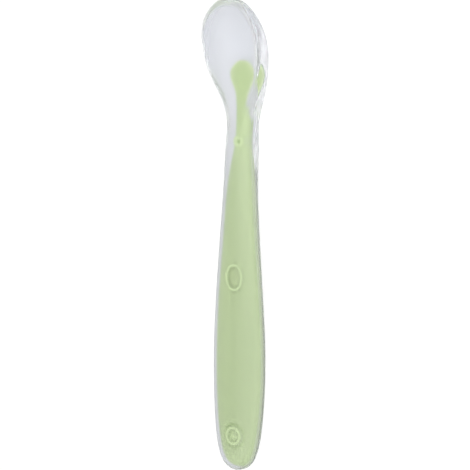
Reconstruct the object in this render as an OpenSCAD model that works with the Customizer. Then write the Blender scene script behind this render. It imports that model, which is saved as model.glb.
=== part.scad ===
// Baby spoon: a hard pale green insert inside a clear, soft silicone body.
// It lies on its back along Y, with the bowl opening up and the bowl's tip at +Y.

/* [Overall] */
// Length of the handle and neck, from the rounded end to the throat of the bowl
handle_l = 119; // [105:1:135]
// Length of the bowl, from its throat to its tip
bowl_l = 41.2; // [36:0.2:46]
// Depth of the two flats that the spoon rests on
foot_cut = 0.3; // [0.2:0.05:0.5]

/* [Handle] */
// Width of the handle where it is widest
handle_w = 21.2; // [19:0.2:24]
// Thickness of the handle
handle_t = 8.4; // [7.6:0.1:9.6]
// Height of the shallow arch under the handle
arch_h = 1.6; // [0:0.1:2.4]
// How full the handle's section is: 2 is an ellipse, and more is squarer
handle_fullness = 2.3; // [2:0.1:3]

/* [Neck] */
// Width of the neck
neck_w = 12.2; // [11:0.2:13.4]
// Thickness of the neck
neck_t = 9; // [8:0.1:10]
// Height of the neck's middle over the floor
neck_h = 5; // [4.6:0.1:5.6]

/* [Bowl] */
// Width of the bowl over its rim
bowl_w = 23.6; // [21:0.2:26]
// Height of the rim's outer edge over the floor
rim_h = 14.2; // [13:0.1:15.4]
// Height of the rounded lip over the rim's outer edge
lip_h = 0.7; // [0.5:0.1:1.1]
// Width of the rim at the bowl's sides
rim_w = 0.9; // [0.7:0.1:1.8]
// Width of the rim at the bowl's tip
tip_rim_w = 2.2; // [1.6:0.1:3]
// Height of the dish's floor over the floor that the spoon lies on
dish_floor_h = 7; // [6.6:0.1:8]
// How full the dish's section is: 2 is an ellipse, and more has a flatter floor
dish_fullness = 3; // [2:0.1:3.4]
// Rounding where the dish meets the rim
lip_r = 0.6; // [0.4:0.1:1]
// How full the bowl's outer section is
bowl_fullness = 2.65; // [2.3:0.05:3.2]

/* [Insert] */
// Silicone beside the blade
side_wall = 1.6; // [1.2:0.1:2.4]
// Silicone over the blade's middle
cover_t = 2; // [1.6:0.1:2.4]
// Silicone under the blade
sole_t = 1.7; // [1.4:0.1:2]
// How far the blade's edges lie below the widest line of the silicone
edge_drop = 1; // [0.6:0.1:1.2]
// Silicone beyond the blade's end
end_wall = 2; // [1.6:0.1:3]
// Width of the stem
stem_w = 3.8; // [3.2:0.1:4.8]
// Thickness of the stem
stem_t = 2.6; // [2.2:0.1:3.2]
// Height of the stem's middle over the floor
stem_h = 4.6; // [4.2:0.1:5]
// Width of the knob
knob_w = 11.4; // [9:0.1:12]
// Length of the knob
knob_l = 10; // [8:0.2:12]
// Thickness of the knob
knob_t = 1.9; // [1.6:0.1:2.6]
// Silicone over the knob
knob_cover = 1.3; // [1:0.1:1.6]
// Distance from the knob's end to the bowl's tip
knob_setback = 20.8; // [19:0.2:24]
// How full the insert's section is
insert_fullness = 2.2; // [2:0.1:3]

/* [Relief on the insert] */
// Diameter of the round boss near the handle's end
end_boss_d = 7; // [5:0.1:8]
// Distance from the handle's end to that boss's middle
end_boss_y = 11.9; // [10:0.1:14]
// Diameter of the boss on the stem
neck_boss_d = 4.2; // [4:0.1:4.8]
// Distance from the throat back to that boss's middle
neck_boss_back = 7; // [5:0.1:9]
// Length of the oval ring
oval_l = 10; // [8:0.1:12]
// Width of the oval ring
oval_w = 8; // [6:0.1:9]
// Distance from the handle's end to the oval ring's middle
oval_y = 66; // [58:0.5:74]
// Width of the raised bands of the ring and the bosses
band_w = 1.6; // [1:0.1:1.9]
// Height of the bosses and the ring over the insert
relief_h = 0.6; // [0.3:0.05:0.8]
// Depth of the hollows inside them
hollow_t = 1.1; // [0.6:0.05:1.3]
// Width of the groove round the boss near the handle's end
groove_w = 0.6; // [0.4:0.1:1]
// Depth of that groove under the insert's highest line
groove_t = 0.7; // [0.5:0.05:0.9]

/* [Hidden] */

// Counts of the lofts' rings and sides; the skin's are for half the rim and dish, and for the underside
skin_rings = 60;
tip_rings = 25;
rim_sides = 4;
dish_sides = 9;
under_sides = 18;
insert_rings = 48;
insert_sides = 26;
search_steps = 24;

spoon_l = handle_l + bowl_l;
silicone_colour = [0.89, 0.91, 0.93, 0.45];
insert_colour = [0.74, 0.82, 0.62];

// The skin's rows: shares of the handle's and the bowl's length
handle_place_share = [0, 0, 0.015, 0.08, 0.21, 0.355, 0.52, 0.69, 0.825, 0.925];
bowl_place_share = [0.195, 0.39, 0.605, 0.81, 1, 1, 1];
// Half width: shares of the way from nothing to the handle's, and from it to the neck's
handle_width_share = [0, 0.12, 0.56, 0.85, 0.985, 1.015, 1, 1, 1, 1];
neck_width_share = [0, 0, 0, 0, 0, 0, 0.28, 0.67, 1, 0.98];
throat_width_share = 0.76;
bowl_width_share = [0.71, 0.92, 1.03, 1.02, 0.465, 0.065, 0];
// Thickness: shares of the handle's, and of the way from it to the neck's
handle_depth_share = [0, 0.38, 0.81, 0.98, 1, 1, 0.96, 0.95, 0.97, 1];
neck_depth_share = [0, 0, 0, 0, 0, 0, 0, 0, 0.5, 1];
arch_share = [0, 0, 0, 0, 0, 0.25, 0.75, 1, 0.8, 0.25];
// Edge height, belly under it and crown over it, along the bowl
bowl_edge_share = [0.495, 0.815, 0.93, 1, 0.97, 0.87, 0.87];
bowl_belly_share = [0.485, 0.815, 0.865, 0.63, 0.295, 0.05, 0];
bowl_crown_share = [2, 1.1, 1.2, 1.5, 1.7, 1, 0];
throat_edge_share = 0.445;
throat_belly_share = 0.44;
throat_crown_share = 0.36;
// Where the section turns from the handle's to the bowl's, in shares of the bowl's length
turn_from_share = -0.15;
turn_to_share = 0.5;
// The dish's deepest place and its run-out over the neck, in shares of the bowl's length
dish_place_share = 0.5;
dish_runout_share = 0.78;
dish_closing = 3;
// The least share of the half width where the top's points turn from the rim to the dish
split_share = 0.55;
tip_split_share = 0.12;
// The share of the rows before the bowl's tip, where the rings lie closer
tip_from_share = 0.76;
// The insert's rows: shares of the handle's length, and of the knob's from its end
core_end_place_share = [0, 0, 0.012];
core_end_share = [0, 0.25, 0.65];
core_place_share = [0.08, 0.21, 0.355, 0.52, 0.69, 0.83];
core_taper_share = [0, 0, 0, 0, 0.1, 0.1];
stem_place_share = [0.935, 0.985];
knob_place_share = [1.6, 1.1, 0.78, 0.42, 0.08, 0, 0];
knob_width_share = [0.42, 0.52, 0.96, 1.15, 0.62, 0.25, 0];
knob_depth_share = [1, 1, 1, 1, 0.8, 0.5, 0];

function mix(a, b, k) = a + (b - a) * k;
function clamp(v) = max(0, min(1, v));
function ease(k) = k * k * (3 - 2 * k);
function bulge(u, n) = pow(max(0, 1 - pow(abs(u), n)), 1 / n);

// A smooth minimum: the lower of two heights, rounded over the distance r
function soft_min(a, b, r) =
    let (h = max(0, r - abs(a - b)) / r)
    min(a, b) - h * h * r / 4;

// One row of a cubic B-spline that the given rows pull, at t from 0 to 1
function spline_row(rows, t) =
    let (
        last = len(rows) - 1,
        i = min(floor(t * last), last - 1),
        f = t * last - i,
        before = i == 0 ? 2 * rows[0] - rows[1] : rows[i - 1],
        after = i == last - 1 ? 2 * rows[last] - rows[last - 1] : rows[i + 2],
        pull_before = pow(1 - f, 3),
        pull_here = 3 * pow(f, 3) - 6 * pow(f, 2) + 4,
        pull_next = -3 * pow(f, 3) + 3 * pow(f, 2) + 3 * f + 1,
        pull_after = pow(f, 3)
    )
    (pull_before * before + pull_here * rows[i] + pull_next * rows[i + 1] + pull_after * after) / 6;

// The row at the place y, found by halving
function row_at(rows, y, lo = 0, hi = 1, step = 0) =
    let (middle = (lo + hi) / 2)
    step == search_steps ? spline_row(rows, middle)
    : spline_row(rows, middle)[0] < y ? row_at(rows, y, middle, hi, step + 1)
    : row_at(rows, y, lo, middle, step + 1);

// A row is [place, half width, edge height, belly under the edge, crown over the edge]
function handle_row(i) =
    let (
        half_t = mix(handle_t, neck_t, neck_depth_share[i]) / 2,
        middle = mix(handle_t / 2, neck_h, neck_depth_share[i])
    )
    [
        handle_place_share[i] * handle_l,
        handle_width_share[i] * mix(handle_w, neck_w, neck_width_share[i]) / 2,
        middle + arch_share[i] * arch_h,
        handle_depth_share[i] * half_t,
        handle_depth_share[i] * half_t
    ];
function bowl_row(i) = [
    handle_l + bowl_place_share[i] * bowl_l,
    bowl_width_share[i] * bowl_w / 2,
    bowl_edge_share[i] * rim_h,
    bowl_belly_share[i] * rim_h,
    bowl_crown_share[i] * lip_h
];
throat_row = [
    handle_l,
    throat_width_share * neck_w / 2,
    throat_edge_share * rim_h,
    throat_belly_share * rim_h,
    throat_crown_share * neck_t
];
skin_rows = concat(
    [for (i = [0 : len(handle_place_share) - 1]) handle_row(i)],
    [throat_row],
    [for (i = [0 : len(bowl_width_share) - 1]) bowl_row(i)]
);

// The dish: how deep it is at the place y, and how wide. Past its deepest place dish_y, its edge
// has the form of the bowl's own outline, drawn in to leave the rim
dish_y = handle_l + dish_place_share * bowl_l;
dish_end_y = spoon_l - tip_rim_w;
dish_top_h = rim_h + lip_h + lip_r / 2;
dish_width_share = 1 - rim_w / row_at(skin_rows, dish_y)[1];
function dish_reach(y) =
    y > dish_y ? (y - dish_y) / (dish_end_y - dish_y) : (dish_y - y) / (dish_runout_share * bowl_l);
function dish_half_w(y, half_w) =
    y > dish_end_y ? 0
    : y > dish_y ? dish_width_share * row_at(skin_rows, mix(dish_y, spoon_l, dish_reach(y)))[1]
    : max(0, half_w - rim_w);
function dish_depth(y) =
    let (n = y > dish_y ? dish_closing : 2)
    (dish_top_h - dish_floor_h) * bulge(min(1, dish_reach(y)), n);
function dish_z(x, y, half_w) =
    let (inner = dish_half_w(y, half_w))
    abs(x) < inner ? dish_top_h - dish_depth(y) * bulge(x / inner, dish_fullness) : dish_top_h;

// How full the skin's section is at the place y
function skin_fullness(y) =
    let (reach = ((y - handle_l) / bowl_l - turn_from_share) / (turn_to_share - turn_from_share))
    mix(handle_fullness, bowl_fullness, ease(clamp(reach)));

// Half of a section's top: where its points lie across, from the edge to the middle, close at the lip
function top_half(row) =
    let (
        edge = row[1],
        least = row[0] > dish_y ? tip_split_share : split_share,
        split = max(dish_half_w(row[0], edge), least * edge)
    )
    concat(
        [for (k = [0 : rim_sides - 1]) split + (edge - split) * cos(90 * k / rim_sides)],
        [for (k = [0 : dish_sides]) split * cos(90 * k / dish_sides)]
    );
function top_point(row, x) =
    let (
        crown = row[2] + row[4] * bulge(x / row[1], skin_fullness(row[0])),
        dish = dish_z(x, row[0], row[1])
    )
    [x, row[0], soft_min(crown, dish, lip_r)];
function under_point(row, a) =
    let (n = skin_fullness(row[0]))
    [
        row[1] * sign(cos(a)) * pow(abs(cos(a)), 2 / n),
        row[0],
        row[2] - row[3] * pow(abs(sin(a)), 2 / n)
    ];

// A ring of the skin: from the edge at +X over the top to the edge at -X, and back underneath
function skin_section(row) =
    let (
        half = top_half(row),
        middle = len(half) - 1
    )
    concat(
        [for (x = half) top_point(row, x)],
        [for (k = [middle - 1 : -1 : 0]) top_point(row, -half[k])],
        [for (k = [1 : under_sides - 1]) under_point(row, 180 + 180 * k / under_sides)]
    );

// Rings of points closed at both ends, as one triangulated solid
module loft(rings, first, last) {
    sides = len(rings[0]);
    count = len(rings);
    end_a = count * sides;
    end_b = end_a + 1;
    faces = concat(
        [for (i = [0 : count - 2]) for (j = [0 : sides - 1])
            [i * sides + j, i * sides + (j + 1) % sides, (i + 1) * sides + j]],
        [for (i = [0 : count - 2]) for (j = [0 : sides - 1])
            [i * sides + (j + 1) % sides, (i + 1) * sides + (j + 1) % sides, (i + 1) * sides + j]],
        [for (j = [0 : sides - 1]) [end_a, (j + 1) % sides, j]],
        [for (j = [0 : sides - 1]) [(count - 1) * sides + j, (count - 1) * sides + (j + 1) % sides, end_b]]
    );
    polyhedron(points = concat([for (ring = rings) each ring], [first, last]), faces = faces, convexity = 6);
}

module skin_solid() {
    places = concat(
        [for (i = [1 : skin_rings]) tip_from_share * i / skin_rings],
        [for (i = [1 : tip_rings - 1]) mix(tip_from_share, 1, i / tip_rings)]
    );
    rings = [for (t = places) skin_section(spline_row(skin_rows, t))];
    first = skin_rows[0];
    last = skin_rows[len(skin_rows) - 1];
    difference() {
        translate([0, 0, -foot_cut]) loft(rings, [0, first[0], first[2]], [0, last[0], last[2]]);
        translate([-bowl_w, -spoon_l, -rim_h]) cube([2 * bowl_w, 3 * spoon_l, rim_h]);
    }
}

// The insert's rows are of the same kind as the skin's
function core_row(i) =
    let (skin = row_at(skin_rows, core_place_share[i] * handle_l))
    [
        skin[0],
        mix(skin[1] - side_wall, stem_w / 2, core_taper_share[i]),
        skin[2] - edge_drop,
        skin[3] - edge_drop - sole_t,
        skin[4] + edge_drop - cover_t
    ];
function core_end_row(i) =
    let (
        inner = core_row(0),
        share = core_end_share[i]
    )
    [
        end_wall + core_end_place_share[i] * handle_l,
        share * inner[1],
        inner[2],
        share * inner[3],
        share * inner[4]
    ];
function stem_row(i) = [stem_place_share[i] * handle_l, stem_w / 2, stem_h, stem_t / 2, stem_t / 2];
knob_h = dish_floor_h - knob_cover - knob_t / 2;
function knob_row(i) =
    let (half_t = knob_depth_share[i] * knob_t / 2)
    [
        spoon_l - knob_setback - knob_place_share[i] * knob_l,
        knob_width_share[i] * knob_w / 2,
        knob_h,
        half_t,
        half_t
    ];
core_rows = concat(
    [for (i = [0 : len(core_end_share) - 1]) core_end_row(i)],
    [for (i = [0 : len(core_place_share) - 1]) core_row(i)],
    [for (i = [0 : len(stem_place_share) - 1]) stem_row(i)],
    [for (i = [0 : len(knob_place_share) - 1]) knob_row(i)]
);

// A point of the insert's section at the angle a, counted from +X
function core_point(row, a) =
    let (
        n = insert_fullness,
        rise = pow(abs(sin(a)), 2 / n)
    )
    [
        row[1] * sign(cos(a)) * pow(abs(cos(a)), 2 / n),
        row[0],
        sin(a) < 0 ? row[2] - row[3] * rise : row[2] + row[4] * rise
    ];

module insert_loft() {
    rings = [
        for (i = [1 : insert_rings - 1])
        let (row = spline_row(core_rows, i / insert_rings))
        [for (j = [0 : insert_sides - 1]) core_point(row, 360 * j / insert_sides)]
    ];
    first = core_rows[0];
    last = core_rows[len(core_rows) - 1];
    loft(rings, [0, first[0], first[2]], [0, last[0], last[2]]);
}

function core_middle(y) = row_at(core_rows, y)[2];
function core_top(y) = core_middle(y) + row_at(core_rows, y)[4];

// An upright oval column at the place y, from the height low to the height high
module column(y, length, width, low, high) {
    translate([0, y, low]) scale([width / length, 1, 1]) cylinder(d = length, h = high - low, $fn = 36);
}
// A flat-topped boss or ring, and the hollow inside its band
module raised(y, length, width) {
    column(y, length, width, core_middle(y), core_top(y) + relief_h);
}
module hollow(y, length, width) {
    column(y, length - 2 * band_w, width - 2 * band_w, core_top(y) + relief_h - hollow_t, rim_h);
}
// The groove round the boss near the handle's end
module groove() {
    outer_d = end_boss_d + 2 * groove_w;
    difference() {
        column(end_boss_y, outer_d, outer_d, core_top(end_boss_y) - groove_t, rim_h);
        column(end_boss_y, end_boss_d, end_boss_d, 0, 2 * rim_h);
    }
}

module insert_solid() {
    neck_boss_y = handle_l - neck_boss_back;
    translate([0, 0, -foot_cut]) difference() {
        union() {
            insert_loft();
            raised(end_boss_y, end_boss_d, end_boss_d);
            raised(neck_boss_y, neck_boss_d, neck_boss_d);
            raised(oval_y, oval_l, oval_w);
        }
        hollow(end_boss_y, end_boss_d, end_boss_d);
        hollow(neck_boss_y, neck_boss_d, neck_boss_d);
        hollow(oval_y, oval_l, oval_w);
        groove();
    }
}

module handle_core() {
    color(insert_colour) translate([0, -spoon_l / 2, 0]) insert_solid();
}

module silicone_body() {
    color(silicone_colour) translate([0, -spoon_l / 2, 0]) difference() {
        skin_solid();
        insert_solid();
    }
}

silicone_body();
handle_core();
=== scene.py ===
"""The looks of a soft-tipped baby spoon: clear silicone moulded round a pale green insert.

Lengths are in millimetres in the part's own frame, with +Y to the bowl's tip and z = 0 at the
surface that the spoon lies on. Along the spoon, a place counts from the handle's end. MM turns
them into metres, and what has a name that ends in _M is in metres already.
"""

import math

import bpy
import numpy as np
from mathutils import Matrix, Vector


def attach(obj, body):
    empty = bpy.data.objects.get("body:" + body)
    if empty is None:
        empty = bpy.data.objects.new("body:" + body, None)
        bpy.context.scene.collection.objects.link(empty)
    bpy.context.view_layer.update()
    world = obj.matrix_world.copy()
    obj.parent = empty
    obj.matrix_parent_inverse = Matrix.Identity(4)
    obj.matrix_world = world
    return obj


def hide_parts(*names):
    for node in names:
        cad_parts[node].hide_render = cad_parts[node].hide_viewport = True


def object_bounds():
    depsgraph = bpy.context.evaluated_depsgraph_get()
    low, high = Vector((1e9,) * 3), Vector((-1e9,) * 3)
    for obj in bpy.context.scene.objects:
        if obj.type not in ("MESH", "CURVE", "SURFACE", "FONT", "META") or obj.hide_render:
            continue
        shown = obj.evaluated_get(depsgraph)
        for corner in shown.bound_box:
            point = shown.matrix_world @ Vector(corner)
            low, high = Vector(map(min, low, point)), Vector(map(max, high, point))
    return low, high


MM = 0.001

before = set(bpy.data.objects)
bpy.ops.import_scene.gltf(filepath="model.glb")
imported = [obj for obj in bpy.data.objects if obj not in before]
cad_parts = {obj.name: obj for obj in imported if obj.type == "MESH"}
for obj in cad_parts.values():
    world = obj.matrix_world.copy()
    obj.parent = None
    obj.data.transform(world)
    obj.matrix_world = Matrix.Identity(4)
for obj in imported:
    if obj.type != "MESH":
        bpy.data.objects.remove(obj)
cad_low, cad_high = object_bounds()

# The part's driving sizes
SPOON_L = (cad_high.y - cad_low.y) / MM
BOWL_L = 41.2
HANDLE_L = SPOON_L - BOWL_L
FOOT_CUT = 0.3
HANDLE_W, HANDLE_T = 21.2, 8.4
ARCH_H = 1.6
HANDLE_FULLNESS = 2.3
NECK_W, NECK_T, NECK_H = 12.2, 9.0, 5.0
BOWL_W = 23.6
RIM_H, LIP_H, LIP_R = 14.2, 0.7, 0.6
RIM_W, TIP_RIM_W = 0.9, 2.2
DISH_FLOOR_H, DISH_FULLNESS = 7.0, 3.0
BOWL_FULLNESS = 2.65
SIDE_WALL, END_WALL = 1.6, 2.0
COVER_T, SOLE_T, EDGE_DROP = 2.0, 1.7, 1.0
STEM_W, STEM_T, STEM_H = 3.8, 2.6, 4.6
KNOB_W, KNOB_L, KNOB_T = 11.4, 10.0, 1.9
KNOB_COVER, KNOB_SETBACK = 1.3, 20.8
INSERT_FULLNESS = 2.2

# The skin's rows, as shares of the handle's and the bowl's sizes
HANDLE_PLACE_SHARE = (0, 0, 0.015, 0.08, 0.21, 0.355, 0.52, 0.69, 0.825, 0.925)
HANDLE_WIDTH_SHARE = (0, 0.12, 0.56, 0.85, 0.985, 1.015, 1, 1, 1, 1)
NECK_WIDTH_SHARE = (0, 0, 0, 0, 0, 0, 0.28, 0.67, 1, 0.98)
HANDLE_DEPTH_SHARE = (0, 0.38, 0.81, 0.98, 1, 1, 0.96, 0.95, 0.97, 1)
NECK_DEPTH_SHARE = (0, 0, 0, 0, 0, 0, 0, 0, 0.5, 1)
ARCH_SHARE = (0, 0, 0, 0, 0, 0.25, 0.75, 1, 0.8, 0.25)
THROAT_WIDTH_SHARE, THROAT_EDGE_SHARE = 0.76, 0.445
THROAT_BELLY_SHARE, THROAT_CROWN_SHARE = 0.44, 0.36
BOWL_PLACE_SHARE = (0.195, 0.39, 0.605, 0.81, 1, 1, 1)
BOWL_WIDTH_SHARE = (0.71, 0.92, 1.03, 1.02, 0.465, 0.065, 0)
BOWL_EDGE_SHARE = (0.495, 0.815, 0.93, 1, 0.97, 0.87, 0.87)
BOWL_BELLY_SHARE = (0.485, 0.815, 0.865, 0.63, 0.295, 0.05, 0)
BOWL_CROWN_SHARE = (2, 1.1, 1.2, 1.5, 1.7, 1, 0)
TURN_FROM_SHARE, TURN_TO_SHARE = -0.15, 0.5
DISH_PLACE_SHARE, DISH_RUNOUT_SHARE, DISH_CLOSING = 0.5, 0.78, 3

# The insert's rows, as shares of the handle's length and of the knob's sizes
CORE_PLACE_SHARE = (0.08, 0.21, 0.355, 0.52, 0.69, 0.83)
CORE_END_SHARE = (0, 0.25, 0.65)
CORE_END_PLACE_SHARE = (0, 0, 0.012)
CORE_TAPER_SHARE = (0, 0, 0, 0, 0.1, 0.1)
STEM_PLACE_SHARE = (0.935, 0.985)
KNOB_PLACE_SHARE = (1.6, 1.1, 0.78, 0.42, 0.08, 0, 0)
KNOB_WIDTH_SHARE = (0.42, 0.52, 0.96, 1.15, 0.62, 0.25, 0)
KNOB_DEPTH_SHARE = (1, 1, 1, 1, 0.8, 0.5, 0)

# The relief on the insert's top
END_BOSS_D, END_BOSS_Y = 7.0, 11.9
NECK_BOSS_D, NECK_BOSS_Y = 4.2, HANDLE_L - 7.0
OVAL_L, OVAL_W, OVAL_Y = 10.0, 8.0, 66.0
BAND_W, RELIEF_H, HOLLOW_T, RELIEF_EDGE = 1.6, 0.6, 1.1, 0.3
GROOVE_W, GROOVE_T = 0.6, 0.7
# Each relief: its place, length, width and the width of the groove round it
RELIEFS = (
    (END_BOSS_Y, END_BOSS_D, END_BOSS_D, GROOVE_W),
    (OVAL_Y, OVAL_L, OVAL_W, 0),
    (NECK_BOSS_Y, NECK_BOSS_D, NECK_BOSS_D, 0),
)

# How far apart the meshes' rings lie, for the skin at places along the spoon and for the insert
# away from a relief and round it
SKIN_STEP_AT = (0, 4, 112, 125, 148, 152, 161)
SKIN_STEP = (0.4, 0.8, 0.7, 0.4, 0.35, 0.2, 0.15)
CORE_STEP, RELIEF_STEP, RELIEF_MARGIN = 0.6, 0.15, 1.0
# The points of a quarter of a ring: the skin's underside, its rim and its dish, and the insert's
# top and underside. RIM_SHARE is how far in the rim's points reach where there is no dish
SIDE_POINTS, RIM_POINTS, DISH_POINTS, RIM_SHARE = 34, 14, 24, 0.55
TOP_POINTS, BOTTOM_POINTS = 56, 22
# The samples that curves are measured with
ARC_SAMPLES, ROW_SAMPLES, RING_SAMPLES = 400, 20001, 12001


def mix(a, b, k):
    return a + (b - a) * k


def bulge(u, n):
    """1 at u = 0 and falling to 0 at u = 1, as a superellipse of exponent n does."""
    return np.maximum(0, 1 - np.abs(u) ** n) ** (1 / n)


def soft_min(a, b, r):
    h = np.maximum(0, r - np.abs(a - b)) / r
    return np.minimum(a, b) - h * h * r / 4


def spline_rows(rows, t):
    """Rows of the cubic B-spline that the given rows pull, at each t from 0 to 1."""
    rows = np.asarray(rows, float)
    pulls = np.vstack([2 * rows[0] - rows[1], rows, 2 * rows[-1] - rows[-2]])
    last = len(rows) - 1
    i = np.minimum((np.asarray(t) * last).astype(int), last - 1)
    f = (np.asarray(t) * last - i)[..., None]
    before = (1 - f) ** 3 * pulls[i]
    here = (3 * f**3 - 6 * f**2 + 4) * pulls[i + 1]
    following = (-3 * f**3 + 3 * f**2 + 3 * f + 1) * pulls[i + 2]
    return (before + here + following + f**3 * pulls[i + 3]) / 6


def row_at(rows, place):
    t = np.linspace(0, 1, ROW_SAMPLES)
    table = spline_rows(rows, t)
    return np.array([np.interp(place, table[:, 0], table[:, k]) for k in range(table.shape[1])])


def handle_row(i):
    half_t = mix(HANDLE_T, NECK_T, NECK_DEPTH_SHARE[i]) / 2
    middle = mix(HANDLE_T / 2, NECK_H, NECK_DEPTH_SHARE[i])
    half_w = HANDLE_WIDTH_SHARE[i] * mix(HANDLE_W, NECK_W, NECK_WIDTH_SHARE[i]) / 2
    depth = HANDLE_DEPTH_SHARE[i] * half_t
    return [HANDLE_PLACE_SHARE[i] * HANDLE_L, half_w, middle + ARCH_SHARE[i] * ARCH_H, depth, depth]


def throat_row():
    return [
        HANDLE_L,
        THROAT_WIDTH_SHARE * NECK_W / 2,
        THROAT_EDGE_SHARE * RIM_H,
        THROAT_BELLY_SHARE * RIM_H,
        THROAT_CROWN_SHARE * NECK_T,
    ]


def bowl_row(i):
    return [
        HANDLE_L + BOWL_PLACE_SHARE[i] * BOWL_L,
        BOWL_WIDTH_SHARE[i] * BOWL_W / 2,
        BOWL_EDGE_SHARE[i] * RIM_H,
        BOWL_BELLY_SHARE[i] * RIM_H,
        BOWL_CROWN_SHARE[i] * LIP_H,
    ]


# A row is [place, half width, edge height, belly under the edge, crown over the edge]
SKIN_ROWS = [handle_row(i) for i in range(len(HANDLE_PLACE_SHARE))]
SKIN_ROWS += [throat_row()]
SKIN_ROWS += [bowl_row(i) for i in range(len(BOWL_PLACE_SHARE))]


def core_row(i):
    skin = row_at(SKIN_ROWS, CORE_PLACE_SHARE[i] * HANDLE_L)
    half_w = mix(skin[1] - SIDE_WALL, STEM_W / 2, CORE_TAPER_SHARE[i])
    belly = skin[3] - EDGE_DROP - SOLE_T
    crown = skin[4] + EDGE_DROP - COVER_T
    return [skin[0], half_w, skin[2] - EDGE_DROP, belly, crown]


def core_end_row(i):
    _, half_w, edge, belly, crown = core_row(0)
    place = END_WALL + CORE_END_PLACE_SHARE[i] * HANDLE_L
    share = CORE_END_SHARE[i]
    return [place, share * half_w, edge, share * belly, share * crown]


def stem_row(i):
    return [STEM_PLACE_SHARE[i] * HANDLE_L, STEM_W / 2, STEM_H, STEM_T / 2, STEM_T / 2]


def knob_row(i):
    half_t = KNOB_DEPTH_SHARE[i] * KNOB_T / 2
    return [
        SPOON_L - KNOB_SETBACK - KNOB_PLACE_SHARE[i] * KNOB_L,
        KNOB_WIDTH_SHARE[i] * KNOB_W / 2,
        DISH_FLOOR_H - KNOB_COVER - KNOB_T / 2,
        half_t,
        half_t,
    ]


CORE_ROWS = [core_end_row(i) for i in range(len(CORE_END_SHARE))]
CORE_ROWS += [core_row(i) for i in range(len(CORE_PLACE_SHARE))]
CORE_ROWS += [stem_row(i) for i in range(len(STEM_PLACE_SHARE))]
CORE_ROWS += [knob_row(i) for i in range(len(KNOB_PLACE_SHARE))]

# The dish: its deepest place and its end. Between them its edge has the form of the bowl's own
# outline, drawn in to leave the rim
DISH_Y = HANDLE_L + DISH_PLACE_SHARE * BOWL_L
DISH_END_Y = SPOON_L - TIP_RIM_W
DISH_TOP_H = RIM_H + LIP_H + LIP_R / 2
DISH_WIDTH_SHARE = 1 - RIM_W / row_at(SKIN_ROWS, DISH_Y)[1]


def dish_at(place, half_w):
    """The dish's depth and its half width at a place."""
    if place > DISH_END_Y:
        return 0.0, 0.0
    if place > DISH_Y:
        reach = (place - DISH_Y) / (DISH_END_Y - DISH_Y)
        inner = DISH_WIDTH_SHARE * row_at(SKIN_ROWS, mix(DISH_Y, SPOON_L, reach))[1]
        return (DISH_TOP_H - DISH_FLOOR_H) * bulge(reach, DISH_CLOSING), inner
    reach = (DISH_Y - place) / (DISH_RUNOUT_SHARE * BOWL_L)
    return (DISH_TOP_H - DISH_FLOOR_H) * bulge(min(1, reach), 2), max(0, half_w - RIM_W)


def dish_z(x, place, half_w):
    depth, inner = dish_at(place, half_w)
    if inner <= 0 or depth <= 0:
        return np.full_like(x, DISH_TOP_H)
    dish = DISH_TOP_H - depth * bulge(x / inner, DISH_FULLNESS)
    return np.where(np.abs(x) < inner, dish, DISH_TOP_H)


def resample(x, z, count):
    """count points at even distances along a line, its start left out and its end kept."""
    run = np.concatenate([[0], np.cumsum(np.hypot(np.diff(x), np.diff(z)))])
    at = np.linspace(0, run[-1], count + 1)[1:]
    return np.stack([np.interp(at, run, x), np.interp(at, run, z)], 1)


def ring_parameters(rows, step_at, step):
    """The t of each ring, so that rings lie step apart along the outline."""
    t = np.linspace(0, 1, RING_SAMPLES)
    table = spline_rows(rows, t)
    middle = (table[1:, 0] + table[:-1, 0]) / 2
    length = np.hypot(np.diff(table[:, 0]), np.diff(table[:, 1])) / np.interp(middle, step_at, step)
    run = np.concatenate([[0], np.cumsum(length)])
    count = int(math.ceil(run[-1]))
    return np.interp(np.linspace(0, run[-1], count + 1)[1:-1], run, t)


def whole_ring(half_w, edge, top, under):
    """A ring from its +X half: over the top from +X to -X, then back underneath."""
    start = np.array([[half_w, edge]])
    flip = np.array([-1, 1])
    over = [start, top, (top[:-1] * flip)[::-1]]
    return np.vstack(over + [start * flip, under[:-1] * flip, under[::-1]])


def skin_section(row):
    place, half_w, edge, belly, crown = row
    turn = (place - HANDLE_L) / BOWL_L - TURN_FROM_SHARE
    turn = min(1, max(0, turn / (TURN_TO_SHARE - TURN_FROM_SHARE)))
    n = mix(HANDLE_FULLNESS, BOWL_FULLNESS, turn * turn * (3 - 2 * turn))
    angle = np.linspace(0, math.pi / 2, ARC_SAMPLES)
    across = half_w * np.abs(np.cos(angle)) ** (2 / n)
    across[-1] = 0
    under = resample(across, edge - belly * np.sin(angle) ** (2 / n), SIDE_POINTS)
    split = max(dish_at(place, half_w)[1], RIM_SHARE * half_w)
    x = np.unique(np.concatenate([across, np.linspace(0, half_w, ARC_SAMPLES), [split]]))[::-1]
    z = soft_min(edge + crown * bulge(x / half_w, n), dish_z(x, place, half_w), LIP_R)
    outer, inner = x >= split, x <= split
    rim = resample(x[outer], z[outer], RIM_POINTS)
    top = np.vstack([rim, resample(x[inner], z[inner], DISH_POINTS)])
    return whole_ring(half_w, edge, top, under)


def inside(x, along, width, length):
    """1 inside an oval about x = along = 0 and 0 outside it, softened over RELIEF_EDGE."""
    if width <= 0 or length <= 0:
        return np.zeros_like(x)
    away = np.hypot(x / (width / 2), along / (length / 2))
    return np.clip((1 - away) * width / 2 / RELIEF_EDGE + 0.5, 0, 1)


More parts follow.
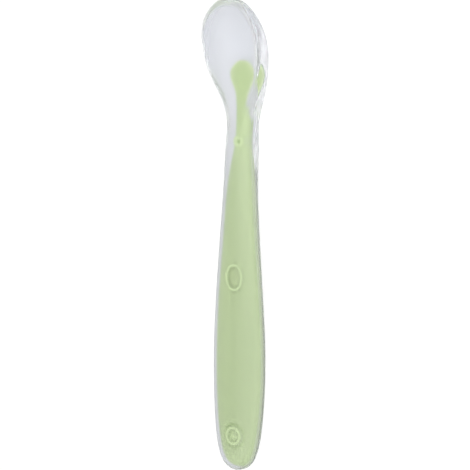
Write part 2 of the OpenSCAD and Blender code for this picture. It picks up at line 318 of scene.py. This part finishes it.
def relief(x, z, place):
    """The insert's top with its flat-topped bosses and oval ring, their hollows and a groove."""
    for y, length, width, groove in RELIEFS:
        along = place - y
        if abs(along) > length / 2 + groove + RELIEF_EDGE:
            continue
        edge, crown = row_at(CORE_ROWS, y)[[2, 4]]
        top = edge + crown
        boss = inside(x, along, width, length)
        moat = inside(x, along, width + 2 * groove, length + 2 * groove)
        band = inside(x, along, width - 2 * BAND_W, length - 2 * BAND_W)
        if groove:
            z = mix(z, np.minimum(z, top - GROOVE_T), moat)
        z = mix(z, top + RELIEF_H, boss)
        z = mix(z, top + RELIEF_H - HOLLOW_T, band)
    return z


def core_section(row):
    place, half_w, edge, belly, crown = row
    angle = np.linspace(0, math.pi / 2, ARC_SAMPLES)
    across = half_w * np.abs(np.cos(angle)) ** (2 / INSERT_FULLNESS)
    across[-1] = 0
    rise = np.sin(angle) ** (2 / INSERT_FULLNESS)
    top = resample(across, edge + crown * rise, TOP_POINTS)
    top[:, 1] = relief(top[:, 0], top[:, 1], place)
    under = resample(across, edge - belly * rise, BOTTOM_POINTS)
    return whole_ring(half_w, edge, top, under)


def loft(name, places, sections, first, last):
    """A closed, smooth mesh through sections of equally many points, with a point at each end."""
    sides = len(sections[0])
    points = [first]
    for place, section in zip(places, sections):
        points += [(x, place, z) for x, z in section]
    points.append(last)
    points = np.array(points, float)
    points[:, 1] -= SPOON_L / 2
    points[:, 2] -= FOOT_CUT
    points[:, 2] = -soft_min(-points[:, 2], np.zeros(len(points)), FOOT_CUT)
    end = len(points) - 1
    faces = [(0, 1 + j, 1 + (j + 1) % sides) for j in range(sides)]
    for i in range(len(sections) - 1):
        a, b = 1 + i * sides, 1 + (i + 1) * sides
        faces += [(a + j, b + j, b + (j + 1) % sides, a + (j + 1) % sides) for j in range(sides)]
    faces += [(end - sides + j, end, end - sides + (j + 1) % sides) for j in range(sides)]
    mesh = bpy.data.meshes.new(name)
    mesh.from_pydata((points * MM).tolist(), [], faces)
    mesh.polygons.foreach_set("use_smooth", [True] * len(mesh.polygons))
    piece = bpy.data.objects.new(name, mesh)
    bpy.context.scene.collection.objects.link(piece)
    return piece


def lofted(name, rows, step_at, step, section):
    found = spline_rows(rows, ring_parameters(rows, step_at, step))
    first, last = rows[0], rows[-1]
    return loft(
        name,
        found[:, 0],
        [section(row) for row in found],
        (0, first[0], first[2]),
        (0, last[0], last[2]),
    )


def core_steps():
    """Places and ring steps along the insert, finer at each relief."""
    at, step = [0.0], [CORE_STEP]
    for y, length, _, _ in RELIEFS:
        near = length / 2 + RELIEF_MARGIN
        far = near + RELIEF_MARGIN
        at += [y - far, y - near, y + near, y + far]
        step += [CORE_STEP, RELIEF_STEP, RELIEF_STEP, CORE_STEP]
    return at + [SPOON_L], step + [CORE_STEP]


# Materials

# The floor's paper. The camera sees it bleached instead, by a glow, and with a grey that takes the
# spoon's shadow. To any other ray it looks bleached by the share BLEACH
PAPER = (0.17, 0.205, 0.31, 1)
BLEACHED_GLOW, BLEACHED_GREY = 0.88, (0.2, 0.2, 0.2, 1)
BLEACH = 0.575

SILICONE_TINT = (0.98, 0.985, 0.995, 1)
SILICONE_CLEAR, SILICONE_IOR = 0.92, 1.41
# What each surface of the silicone lets through of the light that casts a shadow
SILICONE_SHADE = (0.92, 0.93, 0.95, 1)
SILICONE_GLOSS = (0.02, 0.05)
# The silicone is glossy underneath and satin on top. The added roughness grows as the surface's
# normal rises between the last two values
SATIN, SATIN_SIDE, SATIN_TOP = 0.29, -0.35, 0.4

# The insert's green goes from the first to the second with its flow marks
GREEN_MARKS = ((0.505, 0.635, 0.315, 1), (0.615, 0.745, 0.395, 1))
GREEN_GLOSS = (0.38, 0.5)
# How many times as long as wide the insert's flow marks are
FLOW_MARKS = 22.0
# Between these places the insert turns to a lighter green, painted light for the light that shines
# through its thin stem and knob
THIN_PAINTED_LIGHT = (0.62, 0.775, 0.38, 1)
THIN_FROM, THIN_TO = 103.0, 119.0
# Between these places the knob's painted light sets in. It goes by how far its surface is turned
# up: a paler painted underside, a painted glow on the thin border, where light comes through, and a
# painted lit top
KNOB_FROM, KNOB_TO = 120.0, 130.0
KNOB_PAINTED_LIGHT = (
    (0.0, (0.63, 0.755, 0.54, 1)),
    (0.94, (0.765, 0.875, 0.52, 1)),
    (0.998, (0.62, 0.78, 0.365, 1)),
)
# Painted shade in the hollows: how much darker the floors of the end boss and of the ring are
# painted. The painted shade sets in from the first to the second share of the hollow's reach
HOLLOW_PAINTED_SHADES = ((0.90, 0.90, 0.90, 1), (0.78, 0.78, 0.74, 1))
HOLLOW_SHADE_FROM, HOLLOW_SHADE_TO = 1.15, 0.85
# The insert's sides, from the first rise of the surface down to the second, are painted lighter, as
# painted light let through the plastic
SIDE_PAINTED_LIGHT = (0.67, 0.75, 0.53, 1)
SIDE_FROM, SIDE_TO = 0.5, 0.0

# The noises: cells to the metre and detail. A bump also has its strength and its depth in metres
SKIN_GLOSS_NOISE = (90, 2.0)
SKIN_BUMP_NOISE, SKIN_BUMP = (60, 1.0), (0.1, 0.0002)
MARKS_NOISE = (420, 3.0)
GREEN_GLOSS_NOISE = (400, 2.0)
GREEN_BUMP_NOISE, GREEN_BUMP = (900, 3.0), (0.15, 0.0001)


def new_material(name):
    material = bpy.data.materials.new(name)
    material.use_nodes = True
    tree = material.node_tree
    tree.nodes.clear()
    output = tree.nodes.new("ShaderNodeOutputMaterial")
    shader = tree.nodes.new("ShaderNodeBsdfPrincipled")
    tree.links.new(shader.outputs["BSDF"], output.inputs["Surface"])
    return material, tree, shader, output


def noise(tree, scale, detail, drawn=1.0):
    """A noise texture in the part's own metres, drawn out along +Y."""
    place = tree.nodes.new("ShaderNodeTexCoord")
    stretch = tree.nodes.new("ShaderNodeMapping")
    stretch.inputs["Scale"].default_value = (1, 1 / drawn, 1)
    texture = tree.nodes.new("ShaderNodeTexNoise")
    texture.inputs["Scale"].default_value = scale
    texture.inputs["Detail"].default_value = detail
    tree.links.new(place.outputs["Object"], stretch.inputs["Vector"])
    tree.links.new(stretch.outputs["Vector"], texture.inputs["Vector"])
    return texture.outputs["Fac"]


def between(tree, factor, low, high):
    """factor from 0 to 1 taken to the range from low to high."""
    node = tree.nodes.new("ShaderNodeMapRange")
    node.inputs["To Min"].default_value = low
    node.inputs["To Max"].default_value = high
    tree.links.new(factor, node.inputs["Value"])
    return node.outputs["Result"]


def ramp_up(tree, kind, axis, start, end):
    """0 up to start, 1 from end on and evenly between, over an axis of a texture coordinate."""
    place = tree.nodes.new("ShaderNodeTexCoord")
    split = tree.nodes.new("ShaderNodeSeparateXYZ")
    node = tree.nodes.new("ShaderNodeMapRange")
    node.inputs["From Min"].default_value = start
    node.inputs["From Max"].default_value = end
    tree.links.new(place.outputs[kind], split.inputs["Vector"])
    tree.links.new(split.outputs[axis], node.inputs["Value"])
    return node.outputs["Result"]


def along(tree, start, end):
    """0 up to the place start along the spoon, and 1 from the place end on."""
    return ramp_up(tree, "Object", "Y", (start - SPOON_L / 2) * MM, (end - SPOON_L / 2) * MM)


def mixed(tree, factor, a, b, blend="MIX"):
    """The colour a mixed with b by factor. Each of them is a socket or a plain colour."""
    node = tree.nodes.new("ShaderNodeMix")
    node.data_type = "RGBA"
    node.blend_type = blend
    tree.links.new(factor, node.inputs["Factor"])
    for name, colour in (("A", a), ("B", b)):
        if isinstance(colour, tuple):
            node.inputs[name].default_value = colour
        else:
            tree.links.new(colour, node.inputs[name])
    return node.outputs["Result"]


def knob_painted_light(tree):
    """The knob's painted light and shade, over the rise of the surface's normal."""
    place = tree.nodes.new("ShaderNodeTexCoord")
    split = tree.nodes.new("ShaderNodeSeparateXYZ")
    painted_ramp = tree.nodes.new("ShaderNodeValToRGB")
    stops = painted_ramp.color_ramp.elements
    stops.new(KNOB_PAINTED_LIGHT[1][0])
    for stop, (rise, colour) in zip(stops, KNOB_PAINTED_LIGHT):
        stop.position = rise
        stop.color = colour
    tree.links.new(place.outputs["Normal"], split.inputs["Vector"])
    tree.links.new(split.outputs["Z"], painted_ramp.inputs["Fac"])
    return painted_ramp.outputs["Color"]


def hollow_shade_mask(tree, y, length, width):
    """1 on the floor of a relief's hollow, where shade is painted, and 0 outside it."""
    place = tree.nodes.new("ShaderNodeTexCoord")
    drawn = tree.nodes.new("ShaderNodeMapping")
    half_w, half_l = (width / 2 - BAND_W) * MM, (length / 2 - BAND_W) * MM
    drawn.inputs["Location"].default_value = (0, (SPOON_L / 2 - y) * MM / half_l, 0)
    drawn.inputs["Scale"].default_value = (1 / half_w, 1 / half_l, 0)
    away = tree.nodes.new("ShaderNodeVectorMath")
    away.operation = "LENGTH"
    node = tree.nodes.new("ShaderNodeMapRange")
    node.inputs["From Min"].default_value = HOLLOW_SHADE_FROM
    node.inputs["From Max"].default_value = HOLLOW_SHADE_TO
    tree.links.new(place.outputs["Object"], drawn.inputs["Vector"])
    tree.links.new(drawn.outputs["Vector"], away.inputs["Vector"])
    tree.links.new(away.outputs["Value"], node.inputs["Value"])
    return node.outputs["Result"]


def bump(tree, shader, height, strength, distance):
    node = tree.nodes.new("ShaderNodeBump")
    node.inputs["Strength"].default_value = strength
    node.inputs["Distance"].default_value = distance
    tree.links.new(height, node.inputs["Height"])
    tree.links.new(node.outputs["Normal"], shader.inputs["Normal"])


def silicone_material():
    """Clear liquid silicone rubber, with a faint cool tint and a softly uneven gloss."""
    material, tree, shader, output = new_material("clear_silicone")
    shader.inputs["Base Color"].default_value = SILICONE_TINT
    shader.inputs["Transmission Weight"].default_value = SILICONE_CLEAR
    shader.inputs["IOR"].default_value = SILICONE_IOR
    gloss = tree.nodes.new("ShaderNodeMath")
    gloss.operation = "MULTIPLY_ADD"
    tree.links.new(ramp_up(tree, "Normal", "Z", SATIN_SIDE, SATIN_TOP), gloss.inputs[0])
    gloss.inputs[1].default_value = SATIN
    uneven = between(tree, noise(tree, *SKIN_GLOSS_NOISE), *SILICONE_GLOSS)
    tree.links.new(uneven, gloss.inputs[2])
    tree.links.new(gloss.outputs["Value"], shader.inputs["Roughness"])
    bump(tree, shader, noise(tree, *SKIN_BUMP_NOISE), *SKIN_BUMP)
    lamps = tree.nodes.new("ShaderNodeLightPath")
    clear = tree.nodes.new("ShaderNodeBsdfTransparent")
    clear.inputs["Color"].default_value = SILICONE_SHADE
    choice = tree.nodes.new("ShaderNodeMixShader")
    tree.links.new(lamps.outputs["Is Shadow Ray"], choice.inputs["Fac"])
    tree.links.new(shader.outputs["BSDF"], choice.inputs[1])
    tree.links.new(clear.outputs["BSDF"], choice.inputs[2])
    tree.links.new(choice.outputs["Shader"], output.inputs["Surface"])
    return material


def insert_material():
    """Pale green moulded satin plastic: faint lengthwise flow marks, painted shade and painted
    light.
    """
    material, tree, shader, output = new_material("green_plastic")
    colour_and_painted_light = mixed(tree, noise(tree, *MARKS_NOISE, FLOW_MARKS), *GREEN_MARKS)
    # Painted shade darkens the floors of the end boss's and the ring's hollows
    for (y, length, width, _), painted_shade in zip(RELIEFS, HOLLOW_PAINTED_SHADES):
        colour_and_painted_light = mixed(tree, hollow_shade_mask(tree, y, length, width), colour_and_painted_light, painted_shade, "MULTIPLY")
    # Painted light on the insert's sides
    colour_and_painted_light = mixed(tree, ramp_up(tree, "Normal", "Z", SIDE_FROM, SIDE_TO), colour_and_painted_light, SIDE_PAINTED_LIGHT)
    # Painted light on the thin stem and knob
    colour_and_painted_light = mixed(tree, along(tree, THIN_FROM, THIN_TO), colour_and_painted_light, THIN_PAINTED_LIGHT)
    # The knob's painted light and shade
    colour_and_painted_light = mixed(tree, along(tree, KNOB_FROM, KNOB_TO), colour_and_painted_light, knob_painted_light(tree))
    tree.links.new(colour_and_painted_light, shader.inputs["Base Color"])
    gloss = between(tree, noise(tree, *GREEN_GLOSS_NOISE), *GREEN_GLOSS)
    tree.links.new(gloss, shader.inputs["Roughness"])
    bump(tree, shader, noise(tree, *GREEN_BUMP_NOISE), *GREEN_BUMP)
    return material


def floor_material():
    """Pale paper. The camera sees it bleached to white, with the spoon's shadow faint on it."""
    material, tree, shader, output = new_material("white_floor")
    tree.nodes.remove(shader)
    paper = tree.nodes.new("ShaderNodeBsdfDiffuse")
    paper.inputs["Color"].default_value = PAPER
    faint = tree.nodes.new("ShaderNodeBsdfDiffuse")
    faint.inputs["Color"].default_value = BLEACHED_GREY
    glow = tree.nodes.new("ShaderNodeEmission")
    glow.inputs["Strength"].default_value = BLEACHED_GLOW
    white = tree.nodes.new("ShaderNodeAddShader")
    tree.links.new(faint.outputs["BSDF"], white.inputs[0])
    tree.links.new(glow.outputs["Emission"], white.inputs[1])
    seen = tree.nodes.new("ShaderNodeLightPath")
    choice = tree.nodes.new("ShaderNodeMixShader")
    bleached = tree.nodes.new("ShaderNodeMath")
    bleached.operation = "MAXIMUM"
    tree.links.new(seen.outputs["Is Camera Ray"], bleached.inputs[0])
    bleached.inputs[1].default_value = BLEACH
    tree.links.new(bleached.outputs["Value"], choice.inputs["Fac"])
    tree.links.new(paper.outputs["BSDF"], choice.inputs[1])
    tree.links.new(white.outputs["Shader"], choice.inputs[2])
    tree.links.new(choice.outputs["Shader"], output.inputs["Surface"])
    return material


# The pieces

skin = lofted("silicone_skin", SKIN_ROWS, SKIN_STEP_AT, SKIN_STEP, skin_section)
skin.data.materials.append(silicone_material())
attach(skin, "root")
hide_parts("silicone_body")

core = lofted("green_insert", CORE_ROWS, *core_steps(), core_section)
core.data.materials.append(insert_material())
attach(core, "root")
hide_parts("handle_core")

# The camera is turned to the spoon's +X side, leans a little and is rolled a little. A pixel of the
# photograph's square frame shows PIXEL millimetres, and the handle's end lies at END_PX

TURN, LEAN, ROLL = math.radians(40), math.radians(7.6), math.radians(1.2)
PIXEL, IMAGE, END_PX = 0.3384, 470, (237.9, 469.5)
DISTANCE, SENSOR = 2000.0, 36.0
CLIP_M = (0.01, 20)

flat_right = Vector((math.cos(TURN), 0, -math.sin(TURN)))
flat_up = Vector(
    (-math.sin(TURN) * math.sin(LEAN), math.cos(LEAN), -math.cos(TURN) * math.sin(LEAN))
)
right = flat_right * math.cos(ROLL) + flat_up * math.sin(ROLL)
up = flat_up * math.cos(ROLL) - flat_right * math.sin(ROLL)
back = right.cross(up)


# The floor lies just under the spoon, and the softbox hangs over it
FLOOR_HALF_M, FLOOR_LEVEL = 3.0, -0.05
SOFTBOX_AT_M, SOFTBOX_SIZE_M, SOFTBOX_RADIANCE = (0.25, 0.1, 0.5), (1.1, 1.1), 1.14
# The world's own light, and what the silicone sees of it: bright up to the first height of a ray's
# direction and dim from the second on
FILL = 0.3
HORIZON_AT, HORIZON = 0.4, (0.90, 0.91, 0.935, 1)
OVERHEAD_AT, OVERHEAD = 0.75, (0.18, 0.18, 0.19, 1)
# Light is followed far enough through the silicone that its edges don't go black
BOUNCES, GLOSSY_BOUNCES = 24, 16


def make_camera():
    """The view's middle is set from the pixel where the handle's end lies."""
    end = Vector((0, -SPOON_L / 2, HANDLE_T / 2 - FOOT_CUT))
    aim = end + right * (IMAGE / 2 - END_PX[0]) * PIXEL + up * (END_PX[1] - IMAGE / 2) * PIXEL
    data = bpy.data.cameras.new("camera")
    data.sensor_width = SENSOR
    data.lens = SENSOR * DISTANCE / (IMAGE * PIXEL)
    data.clip_start, data.clip_end = CLIP_M
    camera = bpy.data.objects.new("camera", data)
    turned = Matrix((right, up, back)).transposed()
    camera.matrix_world = Matrix.Translation((aim + back * DISTANCE) * MM) @ turned.to_4x4()
    bpy.context.scene.collection.objects.link(camera)
    bpy.context.scene.camera = camera


def make_floor():
    mesh = bpy.data.meshes.new("floor")
    turns = ((-1, -1), (1, -1), (1, 1), (-1, 1))
    corners = [(x * FLOOR_HALF_M, y * FLOOR_HALF_M, FLOOR_LEVEL * MM) for x, y in turns]
    mesh.from_pydata(corners, [], [(0, 1, 2, 3)])
    floor = bpy.data.objects.new("floor", mesh)
    mesh.materials.append(floor_material())
    bpy.context.scene.collection.objects.link(floor)


def soft_light(name, middle, size, radiance):
    """A level panel of even light that faces down, all in metres."""
    data = bpy.data.lights.new(name, "AREA")
    data.shape = "RECTANGLE"
    data.size, data.size_y = size
    data.energy = radiance * math.pi * size[0] * size[1]
    lamp = bpy.data.objects.new(name, data)
    lamp.location = middle
    bpy.context.scene.collection.objects.link(lamp)


def make_world():
    """Even white light. The silicone sees it dim overhead, where the softbox adds its light."""
    world = bpy.data.worlds.new("studio")
    world.use_nodes = True
    bpy.context.scene.world = world
    tree = world.node_tree
    fill = tree.nodes["Background"]
    fill.inputs["Color"].default_value = (1, 1, 1, 1)
    fill.inputs["Strength"].default_value = FILL
    seen = tree.nodes.new("ShaderNodeBackground")
    place = tree.nodes.new("ShaderNodeTexCoord")
    split = tree.nodes.new("ShaderNodeSeparateXYZ")
    ramp = tree.nodes.new("ShaderNodeValToRGB")
    low, high = ramp.color_ramp.elements
    low.position, low.color = HORIZON_AT, HORIZON
    high.position, high.color = OVERHEAD_AT, OVERHEAD
    tree.links.new(place.outputs["Generated"], split.inputs["Vector"])
    tree.links.new(split.outputs["Z"], ramp.inputs["Fac"])
    tree.links.new(ramp.outputs["Color"], seen.inputs["Color"])
    ray = tree.nodes.new("ShaderNodeLightPath")
    choice = tree.nodes.new("ShaderNodeMixShader")
    tree.links.new(ray.outputs["Is Transmission Ray"], choice.inputs["Fac"])
    tree.links.new(fill.outputs["Background"], choice.inputs[1])
    tree.links.new(seen.outputs["Background"], choice.inputs[2])
    tree.links.new(choice.outputs["Shader"], tree.nodes["World Output"].inputs["Surface"])


make_camera()
make_floor()
soft_light("softbox", SOFTBOX_AT_M, SOFTBOX_SIZE_M, SOFTBOX_RADIANCE)
make_world()
bpy.context.scene.view_settings.view_transform = "Standard"
bpy.context.scene.cycles.max_bounces = BOUNCES
bpy.context.scene.cycles.glossy_bounces = GLOSSY_BOUNCES
bpy.context.scene.cycles.transmission_bounces = BOUNCES
